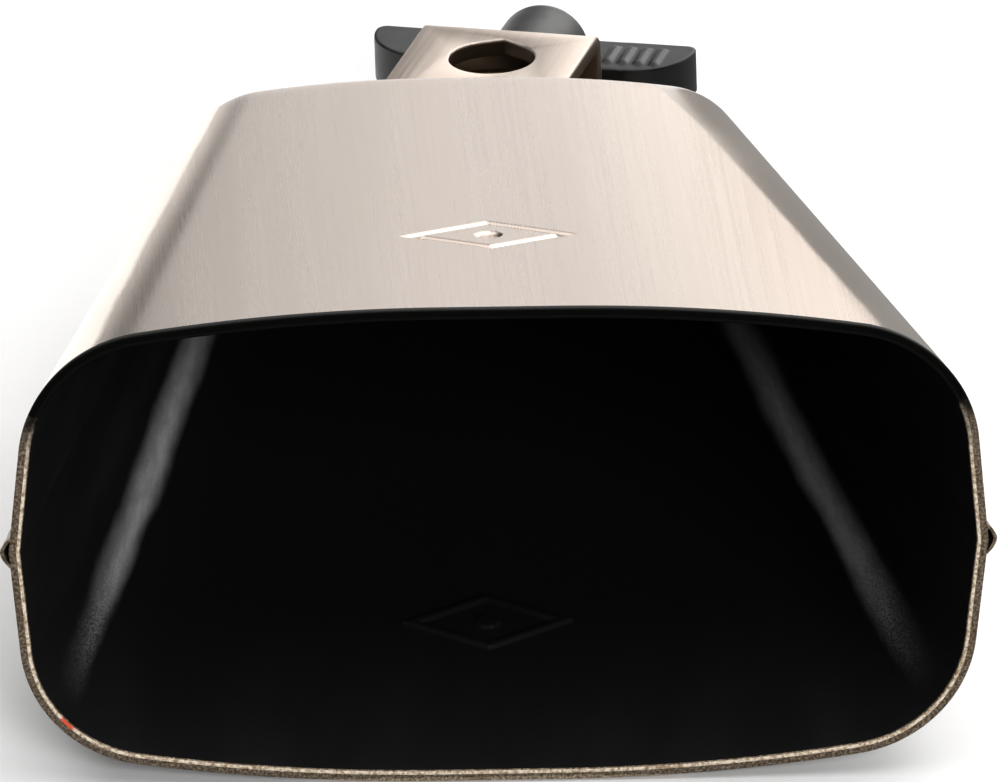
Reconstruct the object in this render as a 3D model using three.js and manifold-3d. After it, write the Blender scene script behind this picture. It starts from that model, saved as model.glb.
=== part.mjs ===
// A hand-held steel cowbell with its rod clamp, as separate pieces.
//
// Two identical pressed half-shells meet along a welded seam. A bent strap is welded to the
// closed end; an eye-bolt sits between its legs, and a wing nut outside the strap's web pulls
// the eye, and the rod that passes through it, against the strap.
//
// Bell frame: X across the mouth, Y from the mouth to the closed end, Z up through the front face.
// Clamp frame: Y from the closed end out along the bolt, X across the strap, Z along the rod.
// The finished bell lies on its back face, on Z = 0, with its mouth towards -Y. Units are mm.

import * as THREE from 'three';
import { mergeVertices } from 'three/addons/utils/BufferGeometryUtils.js';
import Module from 'manifold-3d';

const wasm = await Module();
wasm.setup();

// --- driving dimensions ------------------------------------------------------------------

const BELL_LENGTH = 120.7;
const MOUTH_WIDTH = 126;
const MOUTH_HEIGHT = 66.3;
const END_WIDTH_RATIO = 0.58;
const END_HEIGHT_RATIO = 0.507;
const WALL = 1.5;
const SIDE_DRAFT = THREE.MathUtils.degToRad(5.6);
const FLAT_HALF_WIDTH = 8;
const SHOULDER_RADIUS = 250;
const CORNER_RADIUS = 18;
const END_EDGE_DEPTH = 6.5;
const END_EDGE_INSET = 12;
const MOUTH_OVERRUN = 2;

const MARK_CENTRE = 35.6;
const MARK_WIDTH = 22.4;
const MARK_LENGTH = 13.2;
const MARK_LINE = 1.2;
const MARK_DEPTH = 0.4;
const MARK_DOT_RADIUS = 1.6;

const BEAD_WIDTH = 4.6;
const BEAD_HEIGHT = 1.1;
const FILLET_LEG = 2.2;
const FILLET_BULGE = 1.3;

const CLAMP_YAW = THREE.MathUtils.degToRad(17.1);
const CLAMP_ROLL = THREE.MathUtils.degToRad(2);
const CLAMP_BASE_X = -1.5;
const STRAP_WIDTH = 24.4;
const STRAP_THICKNESS = 2.4;
const STRAP_HEIGHT = 19;
const STRAP_BEND_RADIUS = 3;
const STRAP_REACH = 34.3;
const ROD_HOLE_RADIUS = 5.9;
const ROD_HOLE_CENTRE = 22.1;
const ROD_HOLE_NOTCH = THREE.MathUtils.degToRad(60);

const BOLT_RADIUS = 3;
const BOLT_HOLE_RADIUS = 3.5;
const BOLT_IN_NUT = 10;
const EYE_OFFSET = 1.1;
const EYE_BORE_RADIUS = 6.1;
const EYE_RADIUS = 9.2;
const EYE_HEIGHT = 10;
const EYE_EDGE = 1.4;

const WASHER_RADIUS = 6.3;
const WASHER_THICKNESS = 1.2;

const HUB_RADIUS = 6.4;
const HUB_STRAIGHT = 12.9;
const HUB_HEIGHT = 16.8;
const WING_TIP = 22.7;
const WING_ARC_RADIUS = 8.7;
const WING_TIP_RADIUS = 1.5;
const WING_TIP_HEIGHT = 10.4;
const WING_ROOT_HEIGHT = 10.1;
const WING_ROOT = 8;
const WING_THICKNESS = 6.2;
const WING_RIB_COUNT = 4;
const WING_RIB_SPACING = 2.2;
const WING_RIB_WIDTH = 0.8;
const WING_RIB_LENGTH = 5.5;
const WING_RIB_HEIGHT = 0.35;
const WING_RIB_CENTRE = 15;
const INSERT_RADIUS = 4.3;
const INSERT_BORE_RADIUS = 3.35;
const INSERT_LENGTH = 10.6;
const POCKET_DEPTH = 11.5;

// Between pieces that touch.
const GAP = 0.3;

// Steps per arc in an outline, round a turned piece, and in the closed end's rounded edge.
const ARC_STEPS = 4;
const ROUND_STEPS = 40;
const EDGE_STEPS = 5;

// Points closer than this are the same point.
const SAME_POINT = 1e-4;

// --- values that follow from them -----------------------------------------------------------

const HALF_WIDTH = MOUTH_WIDTH / 2;
const HALF_HEIGHT = MOUTH_HEIGHT / 2;
const FACE_SLOPE = HALF_HEIGHT * (1 - END_HEIGHT_RATIO) / BELL_LENGTH;
const FACE_TILT = Math.atan(FACE_SLOPE);
const SIDE_SLOPE = HALF_WIDTH * (1 - END_WIDTH_RATIO) / BELL_LENGTH;
const SIDE_TILT = Math.atan(SIDE_SLOPE);
const EYE_CENTRE = ROD_HOLE_CENTRE - EYE_OFFSET;
const WASHER_SEAT = STRAP_REACH + GAP;
const HUB_BASE = WASHER_SEAT + WASHER_THICKNESS + GAP;
const BOLT_END = HUB_BASE + BOLT_IN_NUT;
const LARGE = 400;

const ACROSS = new THREE.Vector3(1, 0, 0);
const ALONG = new THREE.Vector3(0, 1, 0);
const UP = new THREE.Vector3(0, 0, 1);

// --- materials ---------------------------------------------------------------------------------

function finish(name, color, roughness, metalness = 1) {
  return new THREE.MeshStandardMaterial({ name, color, roughness, metalness });
}

const BRUSHED_STEEL = finish('brushed_steel', 0xcbbab0, 0.34);
const WELD_STEEL = finish('weld_steel', 0xa89684, 0.5);
const STRAP_STEEL = finish('strap_steel', 0xcebeb1, 0.36);
const YELLOW_ZINC = finish('yellow_zinc', 0xa38a55, 0.42);
const BRIGHT_ZINC = finish('bright_zinc', 0xc9c3ba, 0.3);
const BRASS = finish('brass', 0xb59a5a, 0.35);
const BLACK_PLASTIC = finish('black_plastic', 0x17171b, 0.55, 0);

// --- solids ----------------------------------------------------------------------------------

function solid(geometry) {
  const bare = geometry.clone();
  bare.deleteAttribute('normal');
  bare.deleteAttribute('uv');
  const merged = mergeVertices(bare, SAME_POINT);
  const vertProperties = Float32Array.from(merged.attributes.position.array);
  const triVerts = Uint32Array.from(merged.index.array);
  return new wasm.Manifold(new wasm.Mesh({ numProp: 3, vertProperties, triVerts }));
}

function surface(manifold) {
  const { vertProperties, triVerts } = manifold.getMesh();
  const geometry = new THREE.BufferGeometry();
  geometry.setAttribute('position', new THREE.BufferAttribute(vertProperties, 3));
  geometry.setIndex(new THREE.BufferAttribute(triVerts, 1));
  return geometry;
}

function box(low, high) {
  const size = high.map((value, axis) => value - low[axis]);
  const centre = high.map((value, axis) => (value + low[axis]) / 2);
  return solid(new THREE.BoxGeometry(...size).translate(...centre));
}

// The same outline as straight steps, without the doubled points where two arcs join.
function stepped(path, stepsPerArc) {
  const points = path.getPoints(stepsPerArc);
  const isNew = (point, index) => point.distanceTo(points.at(index - 1)) > SAME_POINT;
  const plain = new THREE.Shape(points.filter(isNew));
  plain.holes = (path.holes ?? []).map((hole) => stepped(hole, stepsPerArc));
  return plain;
}

// Extrudes a shape whose X, Y and depth follow the first, second and third directions.
function extruded(shape, depth, stepsPerArc, directions) {
  const plain = stepped(shape, stepsPerArc);
  const geometry = new THREE.ExtrudeGeometry(plain, { depth, bevelEnabled: false });
  return geometry.applyMatrix4(new THREE.Matrix4().makeBasis(...directions));
}

// Turns a closed profile of [radius, y] points about the Y axis.
function turned(profile) {
  const points = profile.map(([radius, y]) => new THREE.Vector2(radius, y));
  return solid(new THREE.LatheGeometry(points, ROUND_STEPS));
}

// --- the bell's cross-section ------------------------------------------------------------------

// Where the corner arc of an outline set in by some amount touches its drafted side and its
// shoulder arc. Both touching points share a normal with the arc that they join.
function outlineFeatures(inset) {
  const halfWidth = HALF_WIDTH - inset / Math.cos(SIDE_DRAFT);
  const halfHeight = HALF_HEIGHT - inset;
  const cornerRadius = CORNER_RADIUS - inset;
  const shoulderRadius = SHOULDER_RADIUS - inset;
  const shoulder = new THREE.Vector2(FLAT_HALF_WIDTH, halfHeight - shoulderRadius);
  const start = new THREE.Vector2(halfWidth - cornerRadius / Math.cos(SIDE_DRAFT), 0);
  const rise = new THREE.Vector2(-Math.sin(SIDE_DRAFT), Math.cos(SIDE_DRAFT));
  const offset = start.clone().sub(shoulder);
  const along = offset.dot(rise);
  const reach = shoulderRadius - cornerRadius;
  const distance = Math.sqrt(along ** 2 - offset.lengthSq() + reach ** 2) - along;
  const corner = start.clone().addScaledVector(rise, distance);
  const turn = Math.atan2(corner.y - shoulder.y, corner.x - shoulder.x);
  return { halfWidth, halfHeight, cornerRadius, shoulderRadius, shoulder, corner, turn };
}

function bellOutline(inset) {
  const { halfWidth, halfHeight, cornerRadius, shoulderRadius, shoulder, corner, turn } =
    outlineFeatures(inset);
  const quarter = Math.PI / 2;
  const shape = new THREE.Shape();
  shape.moveTo(halfWidth, 0);
  shape.absarc(corner.x, corner.y, cornerRadius, SIDE_DRAFT, turn);
  shape.absarc(shoulder.x, shoulder.y, shoulderRadius, turn, quarter);
  shape.lineTo(-shoulder.x, halfHeight);
  shape.absarc(-shoulder.x, shoulder.y, shoulderRadius, quarter, 2 * quarter - turn);
  shape.absarc(-corner.x, corner.y, cornerRadius, 2 * quarter - turn, 2 * quarter - SIDE_DRAFT);
  shape.lineTo(-halfWidth, 0);
  shape.absarc(-corner.x, -corner.y, cornerRadius, 2 * quarter + SIDE_DRAFT, 2 * quarter + turn);
  shape.absarc(-shoulder.x, -shoulder.y, shoulderRadius, 2 * quarter + turn, 3 * quarter);
  shape.lineTo(shoulder.x, -halfHeight);
  shape.absarc(shoulder.x, -shoulder.y, shoulderRadius, 3 * quarter, 4 * quarter - turn);
  shape.absarc(corner.x, -corner.y, cornerRadius, 4 * quarter - turn, 4 * quarter - SIDE_DRAFT);
  return shape;
}

// A tapered block with the bell's outline, set in by some amount all round, with a rounded
// closed end. It runs past the mouth plane, so that the mouth can be cut square.
function taperedBlock(inset) {
  const edgeDepth = END_EDGE_DEPTH - inset;
  const edgeInset = END_EDGE_INSET - inset;
  const length = BELL_LENGTH - inset;
  const geometry = new THREE.ExtrudeGeometry(stepped(bellOutline(inset), ARC_STEPS), {
    depth: length + MOUTH_OVERRUN - edgeDepth,
    bevelThickness: edgeDepth,
    bevelSize: edgeInset,
    bevelOffset: -edgeInset,
    bevelSegments: EDGE_STEPS,
  });
  geometry.translate(0, 0, -MOUTH_OVERRUN);
  const { halfWidth, halfHeight } = outlineFeatures(inset);
  const position = geometry.attributes.position;
  for (let i = 0; i < position.count; i += 1) {
    const depth = position.getZ(i);
    const scaleX = 1 - SIDE_SLOPE * depth / halfWidth;
    const scaleY = 1 - FACE_SLOPE * depth / halfHeight;
    position.setXY(i, position.getX(i) * scaleX, position.getY(i) * scaleY);
  }
  return solid(geometry.rotateX(-Math.PI / 2));
}

// --- the pressed mark --------------------------------------------------------------------------

function lozenge(width, length) {
  const path = new THREE.Shape();
  path.moveTo(width / 2, 0);
  path.lineTo(0, length / 2);
  path.lineTo(-width / 2, 0);
  path.lineTo(0, -length / 2);
  return path;
}

// A lozenge outline with a dot in its middle, as a slab that spans two depths under the face.
function markSlab(deep, shallow) {
  const outline = lozenge(MARK_WIDTH, MARK_LENGTH);
  const diagonal = Math.hypot(MARK_WIDTH, MARK_LENGTH);
  const inner = 1 - 2 * MARK_LINE * diagonal / (MARK_WIDTH * MARK_LENGTH);
  outline.holes.push(lozenge(MARK_WIDTH * inner, MARK_LENGTH * inner));
  const dot = new THREE.Shape().absarc(0, 0, MARK_DOT_RADIUS, 0, 2 * Math.PI);
  const [ring, centre] = [outline, dot].map((shape) => {
    const geometry = extruded(shape, deep - shallow, 2 * ARC_STEPS, [ACROSS, ALONG, UP]);
    geometry.translate(0, 0, -deep);
    geometry.rotateX(-FACE_TILT);
    geometry.translate(0, MARK_CENTRE, HALF_HEIGHT - FACE_SLOPE * MARK_CENTRE);
    return solid(geometry);
  });
  return ring.add(centre);
}

// --- the bell ------------------------------------------------------------------------------------

// One pressed half: face, two half-sides and half of the closed end, with the mark pressed in.
function halfShell() {
  const upper = box([-LARGE, 0, GAP / 2], [LARGE, LARGE, LARGE]);
  const hollow = taperedBlock(0).subtract(taperedBlock(WALL)).intersect(upper);
  const raised = markSlab(WALL + MARK_DEPTH, WALL - MARK_DEPTH);
  const sunk = markSlab(MARK_DEPTH, -MARK_DEPTH);
  return surface(hollow.add(raised).subtract(sunk));
}

// The section of a weld bead over a seam whose sides fall away at the given slope.
function beadSection(slope) {
  const half = BEAD_WIDTH / 2;
  const foot = GAP - half * slope;
  const shape = new THREE.Shape();
  shape.moveTo(-half, foot);
  if (slope > 0) {
    shape.lineTo(0, GAP);
  }
  shape.lineTo(half, foot);
  shape.quadraticCurveTo(0, 2 * BEAD_HEIGHT - foot, -half, foot);
  return shape;
}

// The bead on the +X side: cut square at the mouth, and ending where the closed end rounds off.
function sideBead() {
  const outward = new THREE.Vector3(Math.cos(SIDE_TILT), Math.sin(SIDE_TILT), 0);
  const along = new THREE.Vector3(-Math.sin(SIDE_TILT), Math.cos(SIDE_TILT), 0);
  const section = beadSection(Math.tan(SIDE_DRAFT));
  const geometry = extruded(section, 2 * BELL_LENGTH, 2 * ARC_STEPS, [UP, outward, along]);
  geometry.translate(HALF_WIDTH, 0, 0);
  geometry.translate(...along.multiplyScalar(-BELL_LENGTH / 2));
  const stretch = box([0, 0, -LARGE], [LARGE, BELL_LENGTH - END_EDGE_DEPTH, LARGE]);
  return surface(solid(geometry).intersect(stretch));
}

// The bead across the closed end, between its rounded edges.
function endBead() {
  const run = 2 * (HALF_WIDTH - END_EDGE_INSET) * END_WIDTH_RATIO;
  const back = ACROSS.clone().negate();
  const geometry = extruded(beadSection(0), run, 2 * ARC_STEPS, [UP, ALONG, back]);
  return geometry.translate(run / 2, BELL_LENGTH, 0);
}

// --- the clamp, in the clamp frame -----------------------------------------------------------

// The bell's closed end as seen from the clamp frame, as a solid to cut the strap's legs with.
function closedEndBlock() {
  const wall = new THREE.BoxGeometry(LARGE, LARGE, LARGE).translate(0, GAP - LARGE / 2, 0);
  return solid(wall.rotateZ(CLAMP_YAW).rotateY(CLAMP_ROLL));
}

function strapSection() {
  const half = STRAP_HEIGHT / 2;
  const inner = half - STRAP_THICKNESS;
  const web = STRAP_REACH - STRAP_THICKNESS;
  const innerRadius = STRAP_BEND_RADIUS - STRAP_THICKNESS;
  const quarter = Math.PI / 2;
  const start = -STRAP_WIDTH / 2;
  const bend = STRAP_REACH - STRAP_BEND_RADIUS;
  const shape = new THREE.Shape();
  shape.moveTo(start, -half);
  shape.absarc(bend, STRAP_BEND_RADIUS - half, STRAP_BEND_RADIUS, -quarter, 0);
  shape.absarc(bend, half - STRAP_BEND_RADIUS, STRAP_BEND_RADIUS, 0, quarter);
  shape.lineTo(start, half);
  shape.lineTo(start, inner);
  shape.absarc(web - innerRadius, inner - innerRadius, innerRadius, quarter, 0, true);
  shape.absarc(web - innerRadius, innerRadius - inner, innerRadius, 0, -quarter, true);
  shape.lineTo(start, -inner);
  return shape;
}

// A round hole with a notch towards the web that centres the rod when the bolt is drawn up.
function rodHole() {
  const notch = ROD_HOLE_CENTRE + ROD_HOLE_RADIUS / Math.sin(ROD_HOLE_NOTCH);
  const from = Math.PI - ROD_HOLE_NOTCH;
  const to = 2 * Math.PI + ROD_HOLE_NOTCH;
  const shape = new THREE.Shape();
  shape.moveTo(0, notch);
  shape.absarc(0, ROD_HOLE_CENTRE, ROD_HOLE_RADIUS, from, to);
  const hole = extruded(shape, 2 * STRAP_HEIGHT, ROUND_STEPS / 2, [ACROSS, ALONG, UP]);
  return solid(hole.translate(0, 0, -STRAP_HEIGHT));
}

function clampBracket() {
  const strap = extruded(strapSection(), STRAP_WIDTH, ARC_STEPS, [ALONG, UP, ACROSS]);
  strap.translate(-STRAP_WIDTH / 2, 0, 0);
  const boltHole = turned([[0, 0], [BOLT_HOLE_RADIUS, 0], [BOLT_HOLE_RADIUS, LARGE], [0, LARGE]]);
  return surface(solid(strap).subtract(rodHole()).subtract(boltHole).subtract(closedEndBlock()));
}

// A fillet weld along the outside of the upper leg, centred on X = 0 and on the closed end.
function legFillet() {
  const side = STRAP_HEIGHT / 2 + GAP;
  const shape = new THREE.Shape();
  shape.moveTo(GAP, side);
  shape.lineTo(GAP + FILLET_LEG, side);
  shape.quadraticCurveTo(GAP + FILLET_BULGE, side + FILLET_BULGE, GAP, side + FILLET_LEG);
  const run = STRAP_WIDTH / Math.cos(CLAMP_YAW);
  return extruded(shape, run, 2 * ARC_STEPS, [ALONG, UP, ACROSS]).translate(-run / 2, 0, 0);
}

// The eye stands on the rod's axis, with its threaded shank along the bolt axis.
function eyeBolt() {
  const half = EYE_HEIGHT / 2;
  const ring = [
    [EYE_BORE_RADIUS, EYE_EDGE - half], [EYE_BORE_RADIUS + EYE_EDGE / 2, -half],
    [EYE_RADIUS - EYE_EDGE, -half], [EYE_RADIUS, EYE_EDGE - half],
    [EYE_RADIUS, half - EYE_EDGE], [EYE_RADIUS - EYE_EDGE, half],
    [EYE_BORE_RADIUS + EYE_EDGE / 2, half], [EYE_BORE_RADIUS, half - EYE_EDGE],
    [EYE_BORE_RADIUS, EYE_EDGE - half],
  ];
  const points = ring.map(([radius, height]) => new THREE.Vector2(radius, height));
  const eye = new THREE.LatheGeometry(points, ROUND_STEPS).rotateX(Math.PI / 2);
  const root = EYE_CENTRE + (EYE_BORE_RADIUS + EYE_RADIUS) / 2;
  const chamfer = BOLT_RADIUS / 4;
  const shank = turned([
    [0, root], [BOLT_RADIUS, root], [BOLT_RADIUS, BOLT_END - chamfer],
    [BOLT_RADIUS - chamfer, BOLT_END], [0, BOLT_END],
  ]);
  return surface(solid(eye.translate(0, EYE_CENTRE, 0)).add(shank));
}

function washer() {
  const bore = BOLT_HOLE_RADIUS;
  const far = WASHER_SEAT + WASHER_THICKNESS;
  return surface(turned([
    [bore, WASHER_SEAT], [WASHER_RADIUS, WASHER_SEAT], [WASHER_RADIUS, far], [bore, far],
    [bore, WASHER_SEAT],
  ]));
}

// One wing's outline, from the hub's base: a wide root, a round sweep and a straight far edge.
function wingOutline() {
  const tipTurn = WING_TIP_HEIGHT - WING_TIP_RADIUS;
  const shape = new THREE.Shape();
  shape.moveTo(0, 0);
  shape.absarc(WING_TIP - WING_ARC_RADIUS, WING_ARC_RADIUS, WING_ARC_RADIUS, -Math.PI / 2, 0);
  shape.absarc(WING_TIP - WING_TIP_RADIUS, tipTurn, WING_TIP_RADIUS, 0, Math.PI / 2);
  shape.lineTo(WING_ROOT, WING_ROOT_HEIGHT);
  shape.lineTo(0, WING_ROOT_HEIGHT);
  return shape;
}

function wing() {
  const slab = extruded(wingOutline(), WING_THICKNESS, 2 * ARC_STEPS, [ACROSS, ALONG, UP]);
  return solid(slab.translate(0, 0, -WING_THICKNESS / 2));
}

// Small raised grip ribs on the upper face of the wing on the +X side.
function wingRibs() {
  const low = (WING_TIP_HEIGHT - WING_RIB_LENGTH) / 2;
  const top = WING_THICKNESS / 2;
  const ribs = Array.from({ length: WING_RIB_COUNT }, (_, index) => {
    const x = WING_RIB_CENTRE + (index - (WING_RIB_COUNT - 1) / 2) * WING_RIB_SPACING;
    return box(
      [x - WING_RIB_WIDTH / 2, low, top - WING_RIB_HEIGHT],
      [x + WING_RIB_WIDTH / 2, low + WING_RIB_LENGTH, top + WING_RIB_HEIGHT],
    );
  });
  return ribs.reduce((all, rib) => all.add(rib));
}

// The hub's profile closes over its far end with a quarter ellipse.
function hub() {
  const dome = Array.from({ length: EDGE_STEPS }, (_, step) => {
    const angle = Math.PI / 2 * step / EDGE_STEPS;
    const height = HUB_STRAIGHT + (HUB_HEIGHT - HUB_STRAIGHT) * Math.sin(angle);
    return [HUB_RADIUS * Math.cos(angle), height];
  });
  return turned([[0, 0], [HUB_RADIUS, 0], ...dome, [0, HUB_HEIGHT]]);
}

function wingNut() {
  const halfTurn = new THREE.Matrix4().makeRotationY(Math.PI).elements;
  const oneSide = wing().add(wingRibs());
  const pocketRadius = INSERT_RADIUS + GAP;
  const pocket = turned([
    [0, -GAP], [pocketRadius, -GAP], [pocketRadius, POCKET_DEPTH], [0, POCKET_DEPTH],
  ]);
  const body = hub().add(oneSide).add(oneSide.transform(halfTurn));
  return surface(body.subtract(pocket)).translate(0, HUB_BASE, 0);
}

function wingNutInsert() {
  const bore = INSERT_BORE_RADIUS;
  const near = HUB_BASE + GAP / 2;
  const far = near + INSERT_LENGTH;
  return surface(turned([
    [bore, near], [INSERT_RADIUS, near], [INSERT_RADIUS, far], [bore, far], [bore, near],
  ]));
}

// --- assembly ---------------------------------------------------------------------------------

function named(name, geometry, material) {
  const mesh = new THREE.Mesh(geometry, material);
  mesh.name = name;
  return mesh;
}

function turnedOver(mesh) {
  mesh.rotation.y = Math.PI;
  return mesh;
}

const bell = new THREE.Group();
bell.add(
  named('front_shell', halfShell(), BRUSHED_STEEL),
  turnedOver(named('back_shell', halfShell(), BRUSHED_STEEL)),
  named('seam_weld_right', sideBead(), WELD_STEEL),
  turnedOver(named('seam_weld_left', sideBead(), WELD_STEEL)),
  named('seam_weld_end', endBead(), WELD_STEEL),
);

const bracketWelds = new THREE.Group();
bracketWelds.add(
  named('bracket_weld_front', legFillet(), WELD_STEEL),
  turnedOver(named('bracket_weld_back', legFillet(), WELD_STEEL)),
);
bracketWelds.position.set(CLAMP_BASE_X, BELL_LENGTH, 0);
bracketWelds.rotation.y = -CLAMP_ROLL;
bell.add(bracketWelds);

const clamp = new THREE.Group();
clamp.add(
  named('clamp_bracket', clampBracket(), STRAP_STEEL),
  named('eye_bolt', eyeBolt(), YELLOW_ZINC),
  named('washer', washer(), BRIGHT_ZINC),
  named('wing_nut', wingNut(), BLACK_PLASTIC),
  named('wing_nut_insert', wingNutInsert(), BRASS),
);
clamp.position.set(CLAMP_BASE_X, BELL_LENGTH, 0);
clamp.rotation.set(0, -CLAMP_ROLL, -CLAMP_YAW, 'ZYX');
bell.add(clamp);

// The bell lies on its back face, and the origin is at the middle of its box, on the ground.
bell.rotation.x = -FACE_TILT;
const group = new THREE.Group();
group.add(bell);
const bounds = new THREE.Box3().setFromObject(group, true);
const middle = bounds.getCenter(new THREE.Vector3());
bell.position.set(-middle.x, -middle.y, -bounds.min.z);

export default group;
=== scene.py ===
# The looks of a steel cowbell and its rod clamp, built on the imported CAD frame.
#
# Bell frame (mm): X across the mouth, Y from the mouth to the closed end, Z up through the front.
# Clamp frame (mm): X across the strap, Y out along the bolt, Z along the rod.
# Every mesh is made in one of these frames and moved into the row frame, in metres.

import math

import bmesh
import bpy
import numpy as np
from mathutils import Matrix, Vector


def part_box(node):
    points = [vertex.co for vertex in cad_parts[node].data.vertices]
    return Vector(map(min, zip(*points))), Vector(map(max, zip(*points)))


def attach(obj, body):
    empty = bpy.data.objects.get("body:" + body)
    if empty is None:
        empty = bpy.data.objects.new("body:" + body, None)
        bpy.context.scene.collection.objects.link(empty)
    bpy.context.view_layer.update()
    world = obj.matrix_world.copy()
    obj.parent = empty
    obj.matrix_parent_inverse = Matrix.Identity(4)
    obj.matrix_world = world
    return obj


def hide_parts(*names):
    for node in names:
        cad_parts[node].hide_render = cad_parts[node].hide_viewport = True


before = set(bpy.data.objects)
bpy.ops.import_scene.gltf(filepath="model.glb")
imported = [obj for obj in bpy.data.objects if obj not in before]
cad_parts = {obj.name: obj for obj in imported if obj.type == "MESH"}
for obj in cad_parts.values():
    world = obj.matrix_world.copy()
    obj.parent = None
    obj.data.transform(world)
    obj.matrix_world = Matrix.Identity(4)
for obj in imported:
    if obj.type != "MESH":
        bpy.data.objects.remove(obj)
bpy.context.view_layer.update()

MM = 0.001

# --- dimensions, in mm, as in the CAD ---------------------------------------------------------

BELL_LENGTH = 120.7
HALF_WIDTH = 63.0
HALF_HEIGHT = 33.15
END_WIDTH_RATIO = 0.58
END_HEIGHT_RATIO = 0.507
WALL = 1.5
SIDE_DRAFT = math.radians(5.6)
FLAT_HALF_WIDTH = 8.0
SHOULDER_RADIUS = 250.0
CORNER_RADIUS = 18.0
END_EDGE_DEPTH = 6.5
END_EDGE_INSET = 12.0
RIM_ROUND = 0.32

# The brushed face ends at these shares of the half width, which drift along the bell.
BRUSHED_LEFT, BRUSHED_LEFT_DRIFT = -0.827, -0.052
BRUSHED_RIGHT, BRUSHED_RIGHT_DRIFT = 0.782, -0.05
BRUSHED_RIGHT_PINCH = -0.075
BRUSHED_EDGE_SOFTNESS = 0.012

# A fleck of red paint on the mouth's inner edge, in the bell frame.
PAINT_FLECK = (-55.6, 0.0, -24.2)

MARK_CENTRE = 35.6
MARK_HALF_WIDTH = 11.2
MARK_HALF_LENGTH = 6.6
MARK_LINE = 1.2
MARK_DEPTH = 0.4
MARK_DOT_RADIUS = 1.6
MARK_SOFTNESS = 0.32
MARK_GRID = 0.26

BEAD_WIDTH = 4.6
BEAD_HEIGHT = 1.1
BEAD_SUNK = 0.5
BEAD_START = 0.05
BEAD_SHORTFALL = 0.3
FILLET_LEG = 2.2
# The strap and its fillets stop this far above the closed end.
END_GAP = 0.05

CLAMP_YAW = math.radians(17.1)
CLAMP_ROLL = math.radians(2.0)
CLAMP_BASE_X = -1.5
STRAP_WIDTH = 24.4
STRAP_THICKNESS = 2.4
STRAP_HEIGHT = 19.0
STRAP_BEND_RADIUS = 3.0
STRAP_REACH = 34.3
ROD_HOLE_RADIUS = 5.9
ROD_HOLE_CENTRE = 22.1
ROD_HOLE_NOTCH = math.radians(60)

BOLT_RADIUS = 3.0
BOLT_HOLE_RADIUS = 3.5
BOLT_PITCH = 1.0
EYE_CENTRE = 21.0
EYE_BORE_RADIUS = 6.1
EYE_RADIUS = 9.2
EYE_HEIGHT = 10.0
EYE_BORE_EDGE = 0.75
EYE_RIM_EDGE = 1.5
THREAD_DEPTH = 0.61 * BOLT_PITCH
THREAD_NECK = 2.6
THREAD_RUN_OUT = 1.5
BOLT_TIP_CHAMFER = 0.75
BOLT_ROOT_FLARE = 1.3

WASHER_SEAT = 34.6
WASHER_RADIUS = 6.3
WASHER_THICKNESS = 1.2
WASHER_BORE_RADIUS = 3.55
WASHER_EDGE = 0.22

HUB_BASE = 36.1
HUB_RADIUS = 6.4
HUB_STRAIGHT = 12.9
HUB_HEIGHT = 16.8
BOLT_END = 46.1
WING_TIP = 22.7
WING_ARC_RADIUS = 8.7
WING_TIP_RADIUS = 1.5
WING_TIP_HEIGHT = 10.4
WING_ROOT_HEIGHT = 10.1
WING_ROOT = 8.0
WING_THICKNESS = 6.2
WING_RIB_COUNT = 4
WING_RIB_SPACING = 2.2
WING_RIB_WIDTH = 0.8
WING_RIB_LENGTH = 5.5
WING_RIB_HEIGHT = 0.35
WING_RIB_CENTRE = 15.0
WING_RIB_SUNK = 0.5
INSERT_RADIUS = 4.3
INSERT_BORE_RADIUS = 3.35
INSERT_LENGTH = 10.6
INSERT_SUNK = 0.15
INSERT_GROOVES = (3.2, 6.8)
INSERT_GROOVE_DEPTH = 0.4
POCKET_DEPTH = 11.5
POCKET_CLEARANCE = 0.12

FACE_SLOPE = HALF_HEIGHT * (1 - END_HEIGHT_RATIO) / BELL_LENGTH
FACE_TILT = math.atan(FACE_SLOPE)
SIDE_SLOPE = HALF_WIDTH * (1 - END_WIDTH_RATIO) / BELL_LENGTH
SIDE_TILT = math.atan(SIDE_SLOPE)

# --- frames ---------------------------------------------------------------------------------------

# The bell lies on its back face; its lowest corner in Y is the back of the mouth.
mouth_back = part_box("back_shell")[0].y / MM
BELL_TO_ROW = (
    Matrix.Scale(MM, 4)
    @ Matrix.Translation((0, mouth_back + HALF_HEIGHT * math.sin(FACE_TILT),
                          HALF_HEIGHT * math.cos(FACE_TILT)))
    @ Matrix.Rotation(-FACE_TILT, 4, "X")
)
CLAMP_TO_ROW = (
    BELL_TO_ROW
    @ Matrix.Translation((CLAMP_BASE_X, BELL_LENGTH, 0))
    @ Matrix.Rotation(-CLAMP_YAW, 4, "Z")
    @ Matrix.Rotation(-CLAMP_ROLL, 4, "Y")
)
HALF_TURN = Matrix.Rotation(math.pi, 4, "Y")

# --- how finely the meshes are made ----------------------------------------------------------------

SMOOTH_ANGLE = math.radians(38)
JOIN_DISTANCE = 1e-7
AXIS_RADIUS = 0.001
SIDE_STEPS = 12
CORNER_STEPS = 30
SHOULDER_STEPS = 26
DENSE_HALF_WIDTH = 14.2
END_EDGE_STEPS = 12
RIM_ROUND_STEPS = 6
RIM_FLAT_STEPS = 4
BEVEL_STRIPS = 4
FIRST_FACE_DEPTH = 1.2
ROWS_BEFORE_MARK = 14
ROWS_AFTER_MARK = 34
BEAD_SECTION = 0.3
BORE_STEPS = 96
SHANK_STEPS = 40
ROWS_PER_PITCH = 10
CUTTER_REACH = 200
MOULDING_VOXEL = 0.2

# --- mesh helpers ---------------------------------------------------------------------------------


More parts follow.
